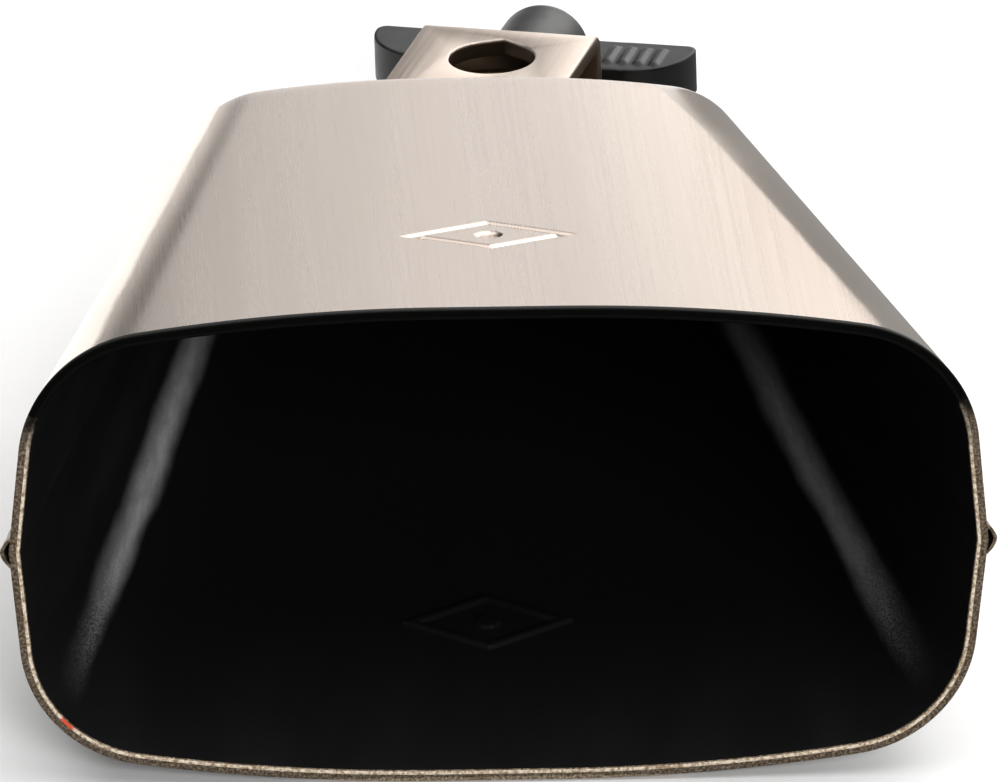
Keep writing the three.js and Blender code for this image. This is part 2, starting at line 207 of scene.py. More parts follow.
def piece(name, points, faces, place, smooth=True):
    mesh = bpy.data.meshes.new(name)
    mesh.from_pydata([tuple(p) for p in points], [], [tuple(f) for f in faces])
    mesh.transform(place)
    mesh.update()
    obj = bpy.data.objects.new(name, mesh)
    bpy.context.scene.collection.objects.link(obj)
    if smooth:
        mesh.shade_smooth()
        mesh.set_sharp_from_angle(angle=SMOOTH_ANGLE)
    return obj


def close_up(obj):
    """Joins points that lie on each other and turns the faces the same way round."""
    mesh = bmesh.new()
    mesh.from_mesh(obj.data)
    bmesh.ops.remove_doubles(mesh, verts=mesh.verts, dist=JOIN_DISTANCE)
    bmesh.ops.recalc_face_normals(mesh, faces=mesh.faces)
    mesh.to_mesh(obj.data)
    mesh.free()
    obj.data.set_sharp_from_angle(angle=SMOOTH_ANGLE)


def apply_modifiers(obj):
    bpy.context.view_layer.update()
    evaluated = obj.evaluated_get(bpy.context.evaluated_depsgraph_get())
    mesh = bpy.data.meshes.new_from_object(evaluated)
    obj.modifiers.clear()
    old = obj.data
    obj.data = mesh
    bpy.data.meshes.remove(old)


def grid_faces(rows, columns, closed=False):
    """Quads that join a grid of rows of points, running round if the rows are closed."""
    faces = []
    last = columns if closed else columns - 1
    for j in range(rows - 1):
        for i in range(last):
            k = (i + 1) % columns
            faces.append((j * columns + i, j * columns + k,
                          (j + 1) * columns + k, (j + 1) * columns + i))
    return faces


def turned(profile, steps):
    """A profile of (radius, y) points turned about Y; a closed profile repeats its first point."""
    points = []
    for radius, y in profile:
        for i in range(steps):
            angle = 2 * math.pi * i / steps
            points.append((radius * math.sin(angle), y, radius * math.cos(angle)))
    return points, grid_faces(len(profile), steps, closed=True)


def extruded(outline, low, high, axes):
    """A solid between two copies of a closed outline; axes place its first, second and depth."""
    count = len(outline)
    across, along, depth = (Vector(a) for a in axes)
    points = [across * x + along * y + depth * low for x, y in outline]
    points += [across * x + along * y + depth * high for x, y in outline]
    faces = [tuple(reversed(range(count))), tuple(range(count, 2 * count))]
    for i in range(count):
        k = (i + 1) % count
        faces.append((i, k, count + k, count + i))
    return points, faces


def arc(centre, radius, start, end, steps):
    """Points on a circle from one angle to another, both ends included."""
    return [(centre[0] + radius * math.cos(start + (end - start) * i / steps),
             centre[1] + radius * math.sin(start + (end - start) * i / steps))
            for i in range(steps + 1)]


def cut(obj, other, operation="DIFFERENCE"):
    modifier = obj.modifiers.new("cut", "BOOLEAN")
    modifier.operation = operation
    modifier.solver = "EXACT"
    modifier.object = other
    apply_modifiers(obj)
    bpy.data.objects.remove(other)


def bevel(obj, width, segments=3, angle=30):
    modifier = obj.modifiers.new("bevel", "BEVEL")
    modifier.width = width
    modifier.segments = segments
    modifier.limit_method = "ANGLE"
    modifier.angle_limit = math.radians(angle)
    modifier.use_clamp_overlap = True
    modifier.harden_normals = True
    apply_modifiers(obj)


def smooth_step(value):
    t = np.clip(value, 0.0, 1.0)
    return t * t * (3 - 2 * t)


# --- the bell ---------------------------------------------------------------------------------------


def outline_features(inset):
    """Sizes and arc centres of the section, inset from the outside of the mouth."""
    half_width = HALF_WIDTH - inset / math.cos(SIDE_DRAFT)
    half_height = HALF_HEIGHT - inset
    corner_radius = CORNER_RADIUS - inset
    shoulder_radius = SHOULDER_RADIUS - inset
    shoulder = Vector((FLAT_HALF_WIDTH, half_height - shoulder_radius))
    start = Vector((half_width - corner_radius / math.cos(SIDE_DRAFT), 0))
    rise = Vector((-math.sin(SIDE_DRAFT), math.cos(SIDE_DRAFT)))
    offset = start - shoulder
    along = offset.dot(rise)
    reach = shoulder_radius - corner_radius
    distance = math.sqrt(along ** 2 - offset.length_squared + reach ** 2) - along
    corner = start + rise * distance
    turn = math.atan2(corner.y - shoulder.y, corner.x - shoulder.x)
    return half_width, half_height, corner_radius, shoulder_radius, shoulder, corner, turn


def half_outline(inset):
    """The front half of the section, from the right seam over the face to the left seam."""
    half_width, half_height, corner_radius, shoulder_radius, shoulder, corner, turn = (
        outline_features(inset))
    side_x = corner.x + corner_radius * math.cos(SIDE_DRAFT)
    side_z = corner.y + corner_radius * math.sin(SIDE_DRAFT)
    side = [(half_width + (side_x - half_width) * i / SIDE_STEPS, side_z * i / SIDE_STEPS)
            for i in range(SIDE_STEPS)]
    round_corner = arc(corner, corner_radius, SIDE_DRAFT, turn, CORNER_STEPS)[:-1]
    corner_end = shoulder.x + shoulder_radius * math.cos(turn)
    wide = [corner_end + (DENSE_HALF_WIDTH - corner_end) * i / SHOULDER_STEPS
            for i in range(SHOULDER_STEPS)]
    dense_count = round(DENSE_HALF_WIDTH / MARK_GRID)
    dense = [DENSE_HALF_WIDTH * (1 - i / dense_count) for i in range(dense_count)]
    crown = []
    for x in wide + dense + [0.0]:
        over = max(x - shoulder.x, 0.0)
        crown.append((x, shoulder.y + math.sqrt(shoulder_radius ** 2 - over ** 2)))
    right = side + round_corner + crown
    left = [(-x, z) for x, z in reversed(right[:-1])]
    return np.array(right + left)


def bell_row(depth, inset, base):
    """The half section at one depth, on the surface that lies base under the outside."""
    half_width, half_height = outline_features(base)[:2]
    section = half_outline(inset)
    x = section[:, 0] * (1 - SIDE_SLOPE * depth / half_width)
    z = section[:, 1] * (1 - FACE_SLOPE * depth / half_height)
    return np.stack([x, np.full(len(x), depth), z], 1)


def mark_depth(row):
    """How far the pressed mark sinks each point of the face."""
    x = np.abs(row[:, 0])
    y = np.abs(row[:, 1] - MARK_CENTRE) / math.cos(FACE_TILT)
    diagonal = math.hypot(MARK_HALF_WIDTH, MARK_HALF_LENGTH)
    under = (1 - x / MARK_HALF_WIDTH - y / MARK_HALF_LENGTH) * (
        MARK_HALF_WIDTH * MARK_HALF_LENGTH / diagonal)
    line = smooth_step(0.5 + under / MARK_SOFTNESS) * smooth_step(
        0.5 + (MARK_LINE - under) / MARK_SOFTNESS)
    dot = smooth_step(0.5 + (MARK_DOT_RADIUS - np.hypot(x, y)) / MARK_SOFTNESS)
    return MARK_DEPTH * np.maximum(line, dot) * (row[:, 2] > 0)


def face_depths():
    """Depths of the rows along the face: even, and close together across the mark."""
    low = MARK_CENTRE - MARK_HALF_LENGTH - 1
    high = MARK_CENTRE + MARK_HALF_LENGTH + 1
    end = BELL_LENGTH - END_EDGE_DEPTH
    dense = round((high - low) / MARK_GRID)
    near = list(np.linspace(FIRST_FACE_DEPTH, low, ROWS_BEFORE_MARK, endpoint=False))
    middle = list(np.linspace(low, high, dense, endpoint=False))
    far = list(np.linspace(high, end, ROWS_AFTER_MARK, endpoint=False))
    return near + middle + far


def marked_row(depth, base):
    """A row of the face on one skin, with the pressed mark in it."""
    row = bell_row(depth, base, base)
    row[:, 2] -= mark_depth(row)
    return row


def quarter_angles(steps):
    return [math.pi / 2 * i / steps for i in range(steps + 1)]


def outer_rows():
    """The outer skin, from the closed end to the mouth."""
    rows = [bell_row(BELL_LENGTH - END_EDGE_DEPTH * (1 - math.sin(angle)),
                     END_EDGE_INSET * (1 - math.cos(angle)), 0)
            for angle in reversed(quarter_angles(END_EDGE_STEPS))]
    return rows + [marked_row(depth, 0) for depth in reversed(face_depths())]


def rim_rows():
    """The mouth's edge: a rounded outer corner, a flat, and a rounded inner corner."""
    rows = [bell_row(RIM_ROUND * (1 - math.sin(angle)), RIM_ROUND * (1 - math.cos(angle)), 0)
            for angle in quarter_angles(RIM_ROUND_STEPS)]
    for i in range(1, RIM_FLAT_STEPS + 1):
        rows.append(bell_row(0, RIM_ROUND + (WALL - 2 * RIM_ROUND) * i / (RIM_FLAT_STEPS + 1), 0))
    rows += [bell_row(RIM_ROUND * (1 - math.cos(angle)),
                      WALL - RIM_ROUND * (1 - math.sin(angle)), 0)
             for angle in quarter_angles(RIM_ROUND_STEPS)[:-1]]
    return rows


def inner_rows():
    """The inner skin, from the mouth to the closed end."""
    edge_depth = END_EDGE_DEPTH - WALL
    edge_inset = END_EDGE_INSET - WALL
    rows = [marked_row(depth, WALL) for depth in [RIM_ROUND] + face_depths()]
    rows += [bell_row(BELL_LENGTH - WALL - edge_depth * (1 - math.sin(angle)),
                      WALL + edge_inset * (1 - math.cos(angle)), WALL)
             for angle in quarter_angles(END_EDGE_STEPS)]
    return rows


OUTSIDE_SLOT, RIM_SLOT, INSIDE_SLOT, BEVEL_SLOT = range(4)


def strip_slots(outer, rim, inner):
    """Material slot of each strip between two rows, from how many rows each part has."""
    before_bevel = RIM_ROUND_STEPS + RIM_FLAT_STEPS
    slots = [OUTSIDE_SLOT] * (outer - 1)
    slots += [RIM_SLOT] * (1 + before_bevel)
    slots += [BEVEL_SLOT] * BEVEL_STRIPS
    slots += [RIM_SLOT] * (rim - before_bevel - BEVEL_STRIPS)
    return slots + [INSIDE_SLOT] * (inner - 1)


def half_shell(name, place):
    """One pressed half: outer skin, rounded rim, inner skin and both closed ends."""
    parts = (outer_rows(), rim_rows(), inner_rows())
    rows = sum(parts, [])
    columns = len(rows[0])
    faces = grid_faces(len(rows), columns)
    slots = []
    for slot in strip_slots(*(len(part) for part in parts)):
        slots += [slot] * (columns - 1)
    last = (len(rows) - 1) * columns
    faces.append(tuple(reversed(range(columns))))
    slots.append(OUTSIDE_SLOT)
    faces.append(tuple(range(last, last + columns)))
    slots.append(INSIDE_SLOT)
    obj = piece(name, np.concatenate(rows), faces, place)
    obj.data.flip_normals()
    for material in (STEEL_OUTSIDE, STEEL_RIM, BLACK_INSIDE, STEEL_BEVEL):
        obj.data.materials.append(material)
    obj.data.polygons.foreach_set("material_index", slots)
    return obj


# --- welds ------------------------------------------------------------------------------------------


def ripple(along, across, pitch):
    """Fish-scale waves along a bead, bowed forward in its middle."""
    phase = along / pitch - 0.35 * (1 - across ** 2)
    wave = phase - math.floor(phase)
    return math.sqrt(max(0.0, 1 - (2 * wave - 1) ** 2)) * (0.6 + 0.4 * math.sin(7.3 * along + 1.1))


def bead(name, start, along, outward, sideways, run, slope, height, place, pitch=1.7):
    """A low rounded bead with ripples, whose sides run down to the plates beside it."""
    steps, sections = 16, round(run / BEAD_SECTION)
    half = BEAD_WIDTH / 2
    start, along, outward, sideways = (Vector(v) for v in (start, along, outward, sideways))
    points = []
    for j in range(sections + 1):
        s = run * j / sections
        wander = 0.12 * math.sin(0.9 * s) + 0.08 * math.sin(2.3 * s + 0.7)
        for i in range(steps + 1):
            across = 2 * i / steps - 1
            crown = (1 - across ** 2) * (height - 0.16 + 0.16 * ripple(s, across, pitch))
            sink = 0.02 - abs(across) * half * slope
            w = across * (half - 0.2) + wander * (1 - abs(across))
            points.append(start + along * s + sideways * w + outward * (sink + crown))
    columns = steps + 1
    faces = grid_faces(sections + 1, columns)
    count = len(points)
    for i in range(columns):
        points.append(points[i] - outward * BEAD_SUNK)
        points.append(points[count - columns + i] - outward * BEAD_SUNK)
    faces.append(tuple(range(columns)) + tuple(count + 2 * i for i in reversed(range(columns))))
    faces.append(tuple(count - columns + i for i in reversed(range(columns)))
                 + tuple(count + 2 * i + 1 for i in range(columns)))
    obj = piece(name, points, faces, place)
    close_up(obj)
    obj.data.materials.append(WELD)
    obj.data.materials.append(STEEL_RIM)
    for cap in obj.data.polygons[-2:]:
        cap.material_index = 1
    return obj


def side_bead(name, place):
    outward = Vector((math.cos(SIDE_TILT), math.sin(SIDE_TILT), 0))
    along = Vector((-math.sin(SIDE_TILT), math.cos(SIDE_TILT), 0))
    run = (BELL_LENGTH - END_EDGE_DEPTH) / math.cos(SIDE_TILT)
    start = Vector((HALF_WIDTH, 0, 0)) + along * BEAD_START
    return bead(name, start, along, outward, (0, 0, 1), run - BEAD_SHORTFALL,
                math.tan(SIDE_DRAFT), BEAD_HEIGHT, place)


def end_bead(name, place):
    run = 2 * (HALF_WIDTH - END_EDGE_INSET) * END_WIDTH_RATIO
    return bead(name, (-run / 2, BELL_LENGTH, 0), (1, 0, 0), (0, 1, 0), (0, 0, 1), run, 0,
                BEAD_HEIGHT, place)


def leg_fillet(name, place):
    """A rippled fillet in the corner between a strap leg and the closed end."""
    run = STRAP_WIDTH / math.cos(CLAMP_YAW)
    side = STRAP_HEIGHT / 2
    steps, sections = 12, round(run / BEAD_SECTION)
    points = []
    for j in range(sections + 1):
        s = run * j / sections - run / 2
        end = min(1.0, 0.55 + min(j, sections - j) * 0.12)
        for i in range(steps + 1):
            angle = math.pi / 2 * i / steps
            across = 2 * i / steps - 1
            size = (FILLET_LEG + 0.2) * end * (0.94 + 0.1 * ripple(s + 40, across, 1.9))
            chord = size * (1 - 0.3 * math.sin(2 * angle))
            points.append((s, END_GAP + chord * math.cos(angle),
                           side + 0.02 + chord * math.sin(angle)))
    columns = steps + 1
    faces = grid_faces(sections + 1, columns)
    count = len(points)
    points += [(-run / 2, END_GAP, side), (run / 2, END_GAP, side)]
    faces.append(tuple(range(columns)) + (count,))
    faces.append(tuple(count - columns + i for i in reversed(range(columns))) + (count + 1,))
    obj = piece(name, points, faces, place)
    close_up(obj)
    obj.data.materials.append(WELD)
    return obj


# --- the clamp ---------------------------------------------------------------------------------------


def strap_outline():
    """The strap seen from the side: two legs and the web that joins them."""
    half = STRAP_HEIGHT / 2
    inner = half - STRAP_THICKNESS
    web = STRAP_REACH - STRAP_THICKNESS
    inner_radius = STRAP_BEND_RADIUS - STRAP_THICKNESS
    quarter = math.pi / 2
    start = -STRAP_WIDTH / 2
    bend = STRAP_REACH - STRAP_BEND_RADIUS
    outline = [(start, -half)]
    outline += arc((bend, STRAP_BEND_RADIUS - half), STRAP_BEND_RADIUS, -quarter, 0, 12)
    outline += arc((bend, half - STRAP_BEND_RADIUS), STRAP_BEND_RADIUS, 0, quarter, 12)
    outline += [(start, half), (start, inner)]
    outline += arc((web - inner_radius, inner - inner_radius), inner_radius, quarter, 0, 5)
    outline += arc((web - inner_radius, inner_radius - inner), inner_radius, 0, -quarter, 5)
    outline += [(start, -inner)]
    return outline


def rod_hole_outline():
    """A round hole whose far side runs out to a blunt notch for the rod."""
    notch = ROD_HOLE_CENTRE + ROD_HOLE_RADIUS / math.sin(ROD_HOLE_NOTCH)
    outline = arc((0, ROD_HOLE_CENTRE), ROD_HOLE_RADIUS, math.pi - ROD_HOLE_NOTCH,
                  2 * math.pi + ROD_HOLE_NOTCH, 72)
    return outline + [(0.5, notch - 0.3), (0, notch - 0.12), (-0.5, notch - 0.3)]


def clamp_bracket():
    """The bent strap, cut for the rod and the bolt and cut off at the closed end."""
    points, faces = extruded(strap_outline(), -STRAP_WIDTH / 2, STRAP_WIDTH / 2,
                             ((0, 1, 0), (0, 0, 1), (1, 0, 0)))
    strap = piece("clamp_strap", points, faces, Matrix.Identity(4), smooth=False)
    hole = piece("hole", *extruded(rod_hole_outline(), -STRAP_HEIGHT, STRAP_HEIGHT,
                                   ((1, 0, 0), (0, 1, 0), (0, 0, 1))), Matrix.Identity(4))
    cut(strap, hole)
    ring = arc((0, 0), BOLT_HOLE_RADIUS, 0, 2 * math.pi, 48)[:-1]
    bolt_hole = piece("hole", *extruded(ring, 25, 60, ((0, 0, 1), (1, 0, 0), (0, 1, 0))),
                      Matrix.Identity(4))
    cut(strap, bolt_hole)
    reach = CUTTER_REACH
    wall = [(-reach, -reach), (reach, -reach), (reach, END_GAP), (-reach, END_GAP)]
    closed_end = piece("wall", *extruded(wall, -reach, reach, ((1, 0, 0), (0, 1, 0), (0, 0, 1))),
                       Matrix.Rotation(CLAMP_ROLL, 4, "Y") @ Matrix.Rotation(CLAMP_YAW, 4, "Z"))
    cut(strap, closed_end)
    strap.data.transform(CLAMP_TO_ROW)
    bevel(strap, 0.28 * MM, segments=3, angle=40)
    strap.data.shade_smooth()
    strap.data.materials.append(STRAP)
    return strap


def thread_profile(phase):
    """Depth of a metric thread at a place in its pitch, 0 at the crest and 1 at the root."""
    wave = abs(phase - math.floor(phase) - 0.5) * 2
    return min(1.0, max(0.0, (wave - 0.12) / 0.7))


def eye_ring():
    """The eye: a ring about Z whose section is a block with four rounded corners."""
    half = EYE_HEIGHT / 2
    bore_x, rim_x = EYE_BORE_RADIUS + EYE_BORE_EDGE, EYE_RADIUS - EYE_RIM_EDGE
    bore_z, rim_z = half - EYE_BORE_EDGE, half - EYE_RIM_EDGE
    section = []
    for quarter, (x, z, radius) in enumerate(((rim_x, rim_z, EYE_RIM_EDGE),
                                              (bore_x, bore_z, EYE_BORE_EDGE),
                                              (bore_x, -bore_z, EYE_BORE_EDGE),
                                              (rim_x, -rim_z, EYE_RIM_EDGE))):
        section += arc((x, z), radius, quarter * math.pi / 2, (quarter + 1) * math.pi / 2, 7)
    section.append(section[0])
    points = []
    for radius, height in section:
        for i in range(BORE_STEPS):
            angle = 2 * math.pi * i / BORE_STEPS
            points.append((radius * math.cos(angle), EYE_CENTRE + radius * math.sin(angle), height))
    return points, grid_faces(len(section), BORE_STEPS, closed=True)


def shank_radius(y, root, turn):
    """Radius of the shank at a place along it and a share of a turn round it."""
    cutting = smooth_step(np.array((y - root - THREAD_NECK) / THREAD_RUN_OUT)).item()
    radius = BOLT_RADIUS - THREAD_DEPTH * cutting * thread_profile(y / BOLT_PITCH - turn)
    radius = min(radius, BOLT_RADIUS - BOLT_TIP_CHAMFER + (BOLT_END - y))
    return radius + BOLT_ROOT_FLARE * max(0.0, 1 - (y - root) / THREAD_NECK) ** 2


def threaded_shank():
    """The shank from inside the eye to the tip, closed at the tip."""
    root = EYE_CENTRE + (EYE_BORE_RADIUS + EYE_RADIUS) / 2
    rows = round((BOLT_END - root) / BOLT_PITCH * ROWS_PER_PITCH)
    points = []
    for j in range(rows + 1):
        y = root + (BOLT_END - root) * j / rows
        for i in range(SHANK_STEPS):
            angle = 2 * math.pi * i / SHANK_STEPS
            radius = shank_radius(y, root, i / SHANK_STEPS)
            points.append((radius * math.sin(angle), y, radius * math.cos(angle)))
    faces = grid_faces(rows + 1, SHANK_STEPS, closed=True)
    faces.append(tuple(rows * SHANK_STEPS + i for i in range(SHANK_STEPS)))
    return points, faces


def eye_bolt():
    points, faces = eye_ring()
    shank_points, shank_faces = threaded_shank()
    base = len(points)
    faces += [tuple(base + k for k in face) for face in shank_faces]
    obj = piece("eye_bolt_threaded", points + shank_points, faces, CLAMP_TO_ROW)
    close_up(obj)
    obj.data.materials.append(YELLOW_ZINC)
    return obj


def washer():
    near, far, edge = WASHER_SEAT, WASHER_SEAT + WASHER_THICKNESS, WASHER_EDGE
    bore, rim = WASHER_BORE_RADIUS, WASHER_RADIUS
    profile = [(bore, near + edge), (BOLT_HOLE_RADIUS + edge, near), (rim - edge, near),
               (rim, near + edge), (rim, far - edge), (rim - edge, far),
               (BOLT_HOLE_RADIUS + edge, far), (bore, far - edge), (bore, near + edge)]
    obj = piece("plated_washer", *turned(profile, 72), CLAMP_TO_ROW, smooth=False)
    close_up(obj)
    bevel(obj, 0.07 * MM, segments=2, angle=25)
    obj.data.shade_smooth()
    obj.data.materials.append(BRIGHT_ZINC)
    return obj


def wing_outline():
    tip_turn = WING_TIP_HEIGHT - WING_TIP_RADIUS
    outline = [(0, 0)]
    outline += arc((WING_TIP - WING_ARC_RADIUS, WING_ARC_RADIUS), WING_ARC_RADIUS,
                   -math.pi / 2, 0, 20)
    outline += arc((WING_TIP - WING_TIP_RADIUS, tip_turn), WING_TIP_RADIUS, 0, math.pi / 2, 8)
    return outline + [(WING_ROOT, WING_ROOT_HEIGHT), (0, WING_ROOT_HEIGHT)]


def hub_profile():
    """Straight sides and a domed end, as (radius, y) points."""
    profile = [(AXIS_RADIUS, 0), (HUB_RADIUS, 0)]
    for angle in quarter_angles(12):
        height = HUB_STRAIGHT + (HUB_HEIGHT - HUB_STRAIGHT) * math.sin(angle)
        profile.append((max(AXIS_RADIUS, HUB_RADIUS * math.cos(angle)), height))
    return profile


def add_wing(body, turn):
    """Joins one wing with its grip ribs to the hub."""
    axes = ((1, 0, 0), (0, 1, 0), (0, 0, 1))
    half = WING_THICKNESS / 2
    low = (WING_TIP_HEIGHT - WING_RIB_LENGTH) / 2
    cut(body, piece("wing", *extruded(wing_outline(), -half, half, axes), turn), "UNION")
    for index in range(WING_RIB_COUNT):
        x = WING_RIB_CENTRE + (index - (WING_RIB_COUNT - 1) / 2) * WING_RIB_SPACING
        left, right = x - WING_RIB_WIDTH / 2, x + WING_RIB_WIDTH / 2
        rectangle = [(left, low), (right, low), (right, low + WING_RIB_LENGTH),
                     (left, low + WING_RIB_LENGTH)]
        rib = piece("rib", *extruded(rectangle, half - WING_RIB_SUNK, half + WING_RIB_HEIGHT, axes),
                    turn)
        cut(body, rib, "UNION")


def soften(body):
    """Remeshes a joined body so that its edges flow like a moulding's."""
    remesh = body.modifiers.new("remesh", "REMESH")
    remesh.mode = "VOXEL"
    remesh.voxel_size = MOULDING_VOXEL
    apply_modifiers(body)
    relax = body.modifiers.new("relax", "SMOOTH")
    relax.factor = 0.5
    relax.iterations = 5
    apply_modifiers(body)


def wing_nut():
    """Hub and wings joined and softened, with a pocket for the brass bush."""
    body = piece("wing_nut_moulding", *turned(hub_profile(), 64), Matrix.Identity(4))
    for turn in (Matrix.Identity(4), HALF_TURN):
        add_wing(body, turn)
    radius = INSERT_RADIUS + POCKET_CLEARANCE
    pocket = piece("pocket", *turned([(AXIS_RADIUS, -1), (radius, -1), (radius, POCKET_DEPTH),
                                      (AXIS_RADIUS, POCKET_DEPTH)], 64), Matrix.Identity(4))
    cut(body, pocket)
    soften(body)
    body.data.transform(CLAMP_TO_ROW @ Matrix.Translation((0, HUB_BASE, 0)))
    body.data.shade_smooth()
    body.data.materials.clear()
    body.data.materials.append(BLACK_PLASTIC)
    return body


def wing_nut_insert():
    """The bush: a tube with rounded edges and two grooves that lock it in the moulding."""
    near = HUB_BASE + INSERT_SUNK
    far = near + INSERT_LENGTH
    outer, bore, edge = INSERT_RADIUS, INSERT_BORE_RADIUS, 0.35
    profile = [(bore, near + edge), (bore + edge, near), (outer - edge, near), (outer, near + edge)]
    for start in INSERT_GROOVES:
        groove, floor = near + start, outer - INSERT_GROOVE_DEPTH
        profile += [(outer, groove), (floor, groove + 0.3), (floor, groove + 0.9),
                    (outer, groove + 1.2)]
    profile += [(outer, far - edge), (outer - edge, far), (bore + edge, far), (bore, far - edge),
                (bore, near + edge)]
    obj = piece("brass_insert", *turned(profile, 64), CLAMP_TO_ROW, smooth=False)
    bevel(obj, 0.05 * MM, segments=2, angle=25)
    obj.data.shade_smooth()
    close_up(obj)
    obj.data.materials.append(BRASS)
    return obj


# --- materials --------------------------------------------------------------------------------------


class Nodes:
    """A short way to write a material's nodes."""

    def __init__(self, name):
        self.material = bpy.data.materials.new(name)
        self.material.use_nodes = True
        self.tree = self.material.node_tree
        self.shader = self.tree.nodes["Principled BSDF"]

    def add(self, kind, **inputs):
        node = self.tree.nodes.new(kind)
        for name, value in inputs.items():
            self.feed(node.inputs[name.replace("_", " ")], value)
        return node

    def feed(self, socket, value):
        if isinstance(value, bpy.types.NodeSocket):
            self.tree.links.new(value, socket)
        else:
            socket.default_value = value

    def place(self, matrix):
        """Coordinates in mm in the frame that the matrix places in the row frame."""
        inverse = matrix.inverted()
        where = self.tree.nodes.new("ShaderNodeTexCoord").outputs["Object"]
        mapping = self.tree.nodes.new("ShaderNodeMapping")
        self.tree.links.new(where, mapping.inputs["Vector"])
        mapping.inputs["Location"].default_value = inverse.translation
        mapping.inputs["Rotation"].default_value = inverse.to_euler()
        mapping.inputs["Scale"].default_value = inverse.to_scale()
        return mapping.outputs["Vector"]

    def stretched(self, vector, scale):
        stretch = self.tree.nodes.new("ShaderNodeMapping")
        stretch.inputs["Scale"].default_value = scale
        self.tree.links.new(vector, stretch.inputs["Vector"])
        return stretch.outputs["Vector"]

    def noise(self, vector, scale, detail=3.0, rough=0.55):
        node = self.add("ShaderNodeTexNoise", Vector=vector, Scale=scale, Detail=detail,
                        Roughness=rough)
        return node.outputs["Fac"]

    def split(self, vector):
        return self.add("ShaderNodeSeparateXYZ", Vector=vector).outputs

    def math(self, operation, a, b=0.0):
        node = self.tree.nodes.new("ShaderNodeMath")
        node.operation = operation
        self.feed(node.inputs[0], a)
        self.feed(node.inputs[1], b)
        return node.outputs[0]

    def ramp(self, value, low, high, to_low=0.0, to_high=1.0, smooth=True):
        node = self.tree.nodes.new("ShaderNodeMapRange")
        node.interpolation_type = "SMOOTHSTEP" if smooth else "LINEAR"
        node.clamp = True
        for socket, item in zip(("Value", "From Min", "From Max", "To Min", "To Max"),
                                (value, low, high, to_low, to_high)):
            self.feed(node.inputs[socket], item)
        return node.outputs["Result"]

    def mix(self, factor, a, b):
        node = self.tree.nodes.new("ShaderNodeMix")
        node.data_type = "RGBA"
        self.feed(node.inputs["Factor"], factor)
        self.feed(node.inputs["A"], a if isinstance(a, bpy.types.NodeSocket) else (*a, 1))
        self.feed(node.inputs["B"], b if isinstance(b, bpy.types.NodeSocket) else (*b, 1))
        return node.outputs["Result"]

    def blend(self, factor, a, b):
        node = self.tree.nodes.new("ShaderNodeMix")
        node.data_type = "FLOAT"
        self.feed(node.inputs["Factor"], factor)
        self.feed(node.inputs["A"], a)
        self.feed(node.inputs["B"], b)
        return node.outputs["Result"]

    def bump(self, height, distance, strength=1.0, under=None):
        node = self.add("ShaderNodeBump", Height=height, Distance=distance, Strength=strength)
        if under is not None:
            self.tree.links.new(under, node.inputs["Normal"])
        return node.outputs["Normal"]

    def finish(self, color, roughness, normal=None, metallic=1.0, **constants):
        self.feed(self.shader.inputs["Base Color"],
                  color if isinstance(color, bpy.types.NodeSocket) else (*color, 1))
        self.feed(self.shader.inputs["Roughness"], roughness)
        self.feed(self.shader.inputs["Metallic"], metallic)
        if normal is not None:
            self.tree.links.new(normal, self.shader.inputs["Normal"])
        for name, value in constants.items():
            self.shader.inputs[name.replace("_", " ")].default_value = value
        return self.material


def brushed_share(n, where, x, y):
    """1 on the brushed middle of the face and 0 on the polished corners and sides."""
    half_width = n.math("SUBTRACT", HALF_WIDTH, n.math("MULTIPLY", y, SIDE_SLOPE))
    share = n.math("DIVIDE", x, half_width)
    along = n.math("DIVIDE", y, BELL_LENGTH)
    wobble = n.math("MULTIPLY", n.math("SUBTRACT", n.noise(where, 0.06, 2.0), 0.5), 0.02)
    left = n.math("ADD", n.math("MULTIPLY", along, BRUSHED_LEFT_DRIFT), BRUSHED_LEFT)
    right = n.math("ADD", n.math("MULTIPLY", along, BRUSHED_RIGHT_DRIFT), BRUSHED_RIGHT)
    pinch = n.math("MULTIPLY", n.math("POWER", along, 5.0), BRUSHED_RIGHT_PINCH)
    right = n.math("ADD", right, pinch)
    wandered = n.math("ADD", share, wobble)
    soft = BRUSHED_EDGE_SOFTNESS
    return n.math("MULTIPLY", n.ramp(n.math("SUBTRACT", wandered, left), -soft, soft),
                  n.ramp(n.math("SUBTRACT", right, wandered), -soft, soft))


